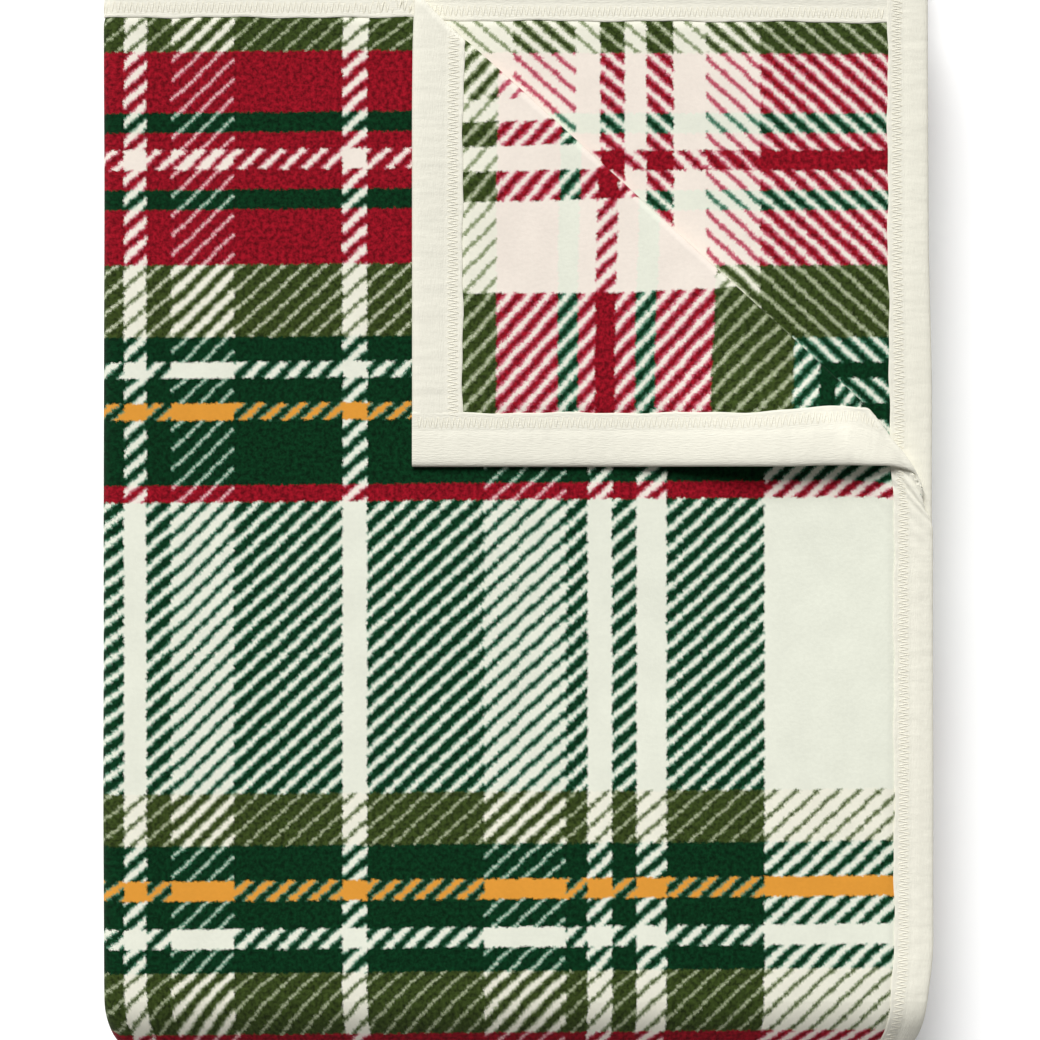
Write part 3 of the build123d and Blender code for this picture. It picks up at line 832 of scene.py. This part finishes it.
def make_cloth():
    """The cloth, one piece for each stretch, and the turned corner."""
    us = across_lines()
    names = {"top": "cloth_upper_top", "outer_fold": "cloth_outer_fold", "lower": "cloth_lower_half",
             "inner_fold": "cloth_inner_fold", "inside": "cloth_upper_inside"}
    rims = lines(RIM, 1.5)
    for part, node in names.items():
        vs = stretch_lines(part, RIM[1], LENGTH - RIM[1], 8.0)
        if part == "top":
            vs = np.concatenate([lines([CLOTH_EDGE, RIM[0]], 3.0), rims, vs, lines(TIP, 1.5)])
        if part == "inside":
            vs = np.concatenate([vs, LENGTH - rims, [LENGTH - CLOTH_EDGE]])
        if part in ("top", "inside"):
            vs = np.unique(np.round(vs, 4))
        places, faces = slab(us, vs)
        if part == "top":
            stays, roll, corner = three_parts(places, faces)
            follow(finish_piece("cloth_top_quarter", stays, "cloth", [node]), "top")
            follow(finish_piece("cloth_crease_roll", roll, "cloth", ["cloth_crease"]), "crease")
            follow(finish_piece("cloth_turned_corner", corner, "cloth", ["cloth_corner"]), "corner")
        else:
            name = node.replace("cloth_", "cloth_piece_")
            follow(finish_piece(name, flat_mesh(places, faces), "cloth", [node]), part)


def finish_strips(parts, names, node_names):
    """Finishes the three parts of a binding strip that crosses the crease."""
    for bm, name, node, part in zip(parts, names, node_names, ("top", "crease", "corner")):
        follow(finish_piece(name, bm, "binding", [node]), part)


def make_side(edge):
    """Binding of a side edge, one strip for each stretch."""
    for part in STRETCHES:
        ts = stretch_lines(part, 0.0, LENGTH, 4.0)
        if part == "top" and edge == "first_side":
            before, after = lines([0.0, TIP[0]], 4.0), lines([TIP[1], ALONG[0]], 4.0)
            ts = np.concatenate([before[:-1], lines(TIP, 1.0), after[1:]])
        places, faces, own = binding_strip(edge, ts)
        if part == "top" and edge == "first_side":
            names = [f"{edge}_binding_{end}" for end in ("top", "crease_roll", "turned")]
            nodes = [f"{edge}_binding_{end}" for end in ("upper_half", "crease", "corner")]
            finish_strips(three_parts(places, faces, own), names, nodes)
            continue
        node = {"top": "upper_half", "inside": "upper_half", "lower": "lower_half"}.get(part, part)
        piece = finish_piece(f"{edge}_binding_strip_{part}", flat_mesh(places, faces, own), "binding",
                             [f"{edge}_binding_{node}"])
        follow(piece, part)


def make_ends():
    """Head and foot bindings, their ends under the side bindings."""
    inset = 6.0
    ends = [inset, *ACROSS[:6], WIDTH - inset]
    steps = (4.0, 1.2, 4.0, 0.7, 4.0, 0.7, 4.0)
    us = np.unique(np.concatenate([lines([a, b], step) for a, b, step in zip(ends, ends[1:], steps)]))
    places, faces, own = binding_strip("head", us)
    names = ("head_binding_strip", "head_binding_crease_roll", "head_binding_turned")
    nodes = ("head_binding", "head_binding_crease", "head_binding_corner")
    finish_strips(three_parts(places, faces, own), names, nodes)
    places, faces, own = binding_strip("foot", us)
    foot = finish_piece("foot_binding_strip", flat_mesh(places, faces, own), "binding", ["foot_binding"])
    follow(foot, "inside")


STITCH_POINTS, STITCH_FACES = 20, 18     # vertices and faces of one stitch leg


def part_of_stitch(places):
    """Sorts whole stitch legs by the part of the blanket that they lie on."""
    legs = places.reshape(-1, STITCH_POINTS, 3).mean(axis=1)
    stretch = np.searchsorted([ALONG[0], ALONG[1], ALONG[4], ALONG[5]], legs[:, 1], side="right")
    parts = np.array([STRETCHES[i] for i in stretch], dtype=object)
    s, n = crease_place(legs[:, 0], legs[:, 1])
    on_top = (parts == "top") & (legs[:, 0] < ACROSS[0])
    parts[on_top & (n > ROLL_START[0] + ROLL_START[1] * s)] = "crease"
    parts[on_top & (n > ROLL_END + ROLL_TOP[1] * s)] = "corner"
    return parts


def make_stitches(edge):
    """Rows of stitches beside an edge, one piece for each part that moves by itself."""
    low, high = (2.0, LENGTH - 2.0) if edge.endswith("side") else (BINDING - 2, WIDTH - BINDING + 2)
    places, faces = stitch_row(edge, low, high)
    parts = part_of_stitch(places)
    nodes = {"top": "upper_half", "inside": "upper_half", "lower": "lower_half", "outer_fold": "folds",
             "inner_fold": "folds"}
    for part in sorted(set(parts)):
        chosen = np.flatnonzero(parts == part)
        rows = places.reshape(-1, STITCH_POINTS, 3)[chosen].reshape(-1, 3)
        legs_faces = [[int(i) + STITCH_POINTS * number for i in f] for number, leg in enumerate(chosen)
                      for f in faces_of_leg(faces, leg)]
        if edge.endswith("side"):
            node = f"{edge}_stitches_{nodes.get(part, part)}"
        else:
            node = f"{edge}_stitches" if part in ("top", "inside") else f"{edge}_stitches_{part}"
        name = f"{edge}_stitch_row_{part}"
        follow(finish_piece(name, flat_mesh(rows, legs_faces), "stitches", [node]), part)


def faces_of_leg(faces, leg):
    """The faces of one stitch leg, counted from its own first vertex."""
    first = STITCH_FACES * leg
    return [[i - STITCH_POINTS * leg for i in f] for f in faces[first:first + STITCH_FACES]]


make_cloth()
make_side("first_side")
make_side("second_side")
make_ends()
for row in ("first_side", "second_side", "head", "foot"):
    make_stitches(row)


# ---------------------------------------------------------------- studio
FLOOR_SIZE = 6.0                   # metres
AMBIENT = 0.16
KEY_FROM, KEY_ANGLE, KEY_ENERGY = (-0.34, 1.0, 1.0), 34, 3.92


def make_studio():
    """Pale floor and backdrop, and soft light from behind the head edge and a little from the left."""
    bpy.ops.object.select_all(action="DESELECT")
    bpy.ops.mesh.primitive_plane_add(size=FLOOR_SIZE, location=(0, 0, -0.4 * MM))
    floor = bpy.context.object
    floor.name = "floor"
    paint, _, shader = new_material("matt_white_floor", 0.9, 0.0)
    shader.inputs["Base Color"].default_value = (0.93, 0.93, 0.93, 1)
    shader.inputs["Emission Color"].default_value = (1, 1, 1, 1)
    shader.inputs["Emission Strength"].default_value = 0.18
    floor.data.materials.append(paint)
    world = bpy.data.worlds.new("studio")
    world.use_nodes = True
    # The backdrop is as pale as the floor; the light that it gives is much weaker.
    seen = add(world.node_tree, "ShaderNodeLightPath").outputs["Is Camera Ray"]
    strength = add(world.node_tree, "ShaderNodeMapRange", {0: seen, 3: AMBIENT, 4: 1.0}).outputs[0]
    world.node_tree.nodes["Background"].inputs["Color"].default_value = (1, 1, 1, 1)
    world.node_tree.links.new(strength, world.node_tree.nodes["Background"].inputs["Strength"])
    bpy.context.scene.world = world
    bpy.ops.object.light_add(type="SUN", location=KEY_FROM)
    key = bpy.context.object
    key.name = "soft_box"
    key.data.angle = math.radians(KEY_ANGLE)
    key.data.energy = KEY_ENERGY
    key.rotation_euler = (Vector((0, 0, 0)) - key.location).to_track_quat("-Z", "Y").to_euler()
    bpy.context.scene.view_settings.view_transform = "Standard"


def make_camera():
    """Looks straight down; the frame takes the blanket's width with some floor at each side."""
    data = bpy.data.cameras.new("camera")
    data.lens = 85
    camera = bpy.data.objects.new("camera", data)
    bpy.context.scene.collection.objects.link(camera)
    seen = 477.5                               # width of the view at the top layer, mm
    rise = seen / data.sensor_width * data.lens
    camera.location = (0, -14.4 * MM, (TOP_Z + rise) * MM)
    data.clip_end = 20
    bpy.context.scene.camera = camera


make_studio()
make_camera()
